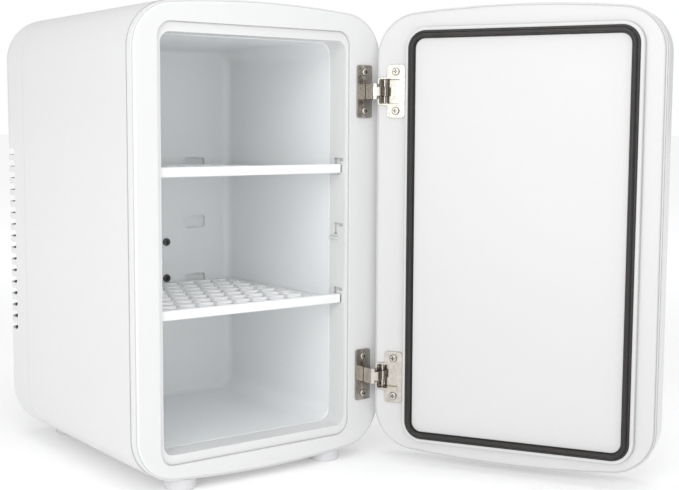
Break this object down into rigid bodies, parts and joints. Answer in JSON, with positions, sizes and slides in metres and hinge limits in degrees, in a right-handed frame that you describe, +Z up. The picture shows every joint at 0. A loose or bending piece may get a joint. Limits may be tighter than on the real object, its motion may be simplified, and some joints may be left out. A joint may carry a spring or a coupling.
{
  "type": "mini fridge",
  "caption": "Small table-top thermoelectric fridge with a hinged door standing open, two slide-out shelves, a rear fan and a mode switch.",
  "frame": {"origin": "on the floor under the middle of the whole object's bounding box, with the door open", "axes": "+Z up, the cabinet's front faces -Y, and +X is to the right seen from the front"},
  "size_m": [0.4326, 0.5502, 0.4484],
  "materials": {
    "white_shell": "gloss",
    "white_frame": "satin",
    "liner": "satin",
    "shelf": "satin",
    "gasket": "satin",
    "foot": "matte",
    "foam": "matte",
    "inner_plastic": "matte",
    "aluminium": "satin",
    "module": "matte",
    "screw_bright": "satin",
    "screw_dark": "satin",
    "hinge_steel": "polished",
    "backing_steel": "satin",
    "black_plastic": "satin",
    "grille": "satin",
    "switch_cap": "gloss",
    "board": "satin",
    "components": "satin"
  },
  "bodies": {
    "cabinet": {"body_sleeve": "white_shell", "front_frame": "white_frame", "rear_cover": "white_shell", "rear_bulkhead": "inner_plastic", "inner_liner": "liner", "cabinet_foam": "foam", "feet": "foot", "foot_screws": "screw_bright", "cold_block": "aluminium", "cold_block_screws": "screw_dark", "peltier_module": "module", "heat_sink": "aluminium", "heat_sink_screws": "screw_bright", "fan_frame": "black_plastic", "fan_screws": "screw_bright", "fan_grille": "grille", "power_inlet": "black_plastic", "dc_inlet": "black_plastic", "switch_housing": "black_plastic", "control_board": "board", "board_components": "components", "rear_cover_screws": "screw_dark", "hinge_backing_plates": "backing_steel", "hinge_arm_screws": "hinge_steel", "lower_hinge_arm": "hinge_steel", "upper_hinge_arm": "hinge_steel"},
    "door": {"door_outer_shell": "white_shell", "door_inner_panel": "white_frame", "door_foam": "foam", "door_gasket": "gasket", "hinge_cup_screws": "hinge_steel", "lower_hinge_cup": "hinge_steel", "upper_hinge_cup": "hinge_steel", "lower_hinge_pin": "hinge_steel", "upper_hinge_pin": "hinge_steel"},
    "upper_shelf_body": {"upper_shelf": "shelf"},
    "lower_shelf_body": {"lower_shelf": "shelf"},
    "fan_rotor_body": {"fan_rotor": "black_plastic"},
    "mode_switch_body": {"mode_switch": "switch_cap"}
  },
  "joints": [
    {"name": "door_hinge", "type": "hinge", "parent": "cabinet", "child": "door", "pos_m": [0.05305, -0.04138, 0.2259], "axis": [0, 0, 1], "range_deg": [-120, 0]},
    {"name": "upper_shelf_slide", "type": "slide", "parent": "cabinet", "child": "upper_shelf_body", "axis": [0, -1, 0], "range_m": [0, 0.16]},
    {"name": "lower_shelf_slide", "type": "slide", "parent": "cabinet", "child": "lower_shelf_body", "axis": [0, -1, 0], "range_m": [0, 0.16]},
    {"name": "fan_spin", "type": "hinge", "parent": "cabinet", "child": "fan_rotor_body", "pos_m": [-0.08435, 0.25052, 0.1867], "axis": [0, 1, 0], "continuous": true},
    {"name": "mode_switch_rock", "type": "hinge", "parent": "cabinet", "child": "mode_switch_body", "pos_m": [-0.10985, 0.27012, 0.062], "axis": [0, 0, 1], "range_deg": [-10, 10]}
  ]
}
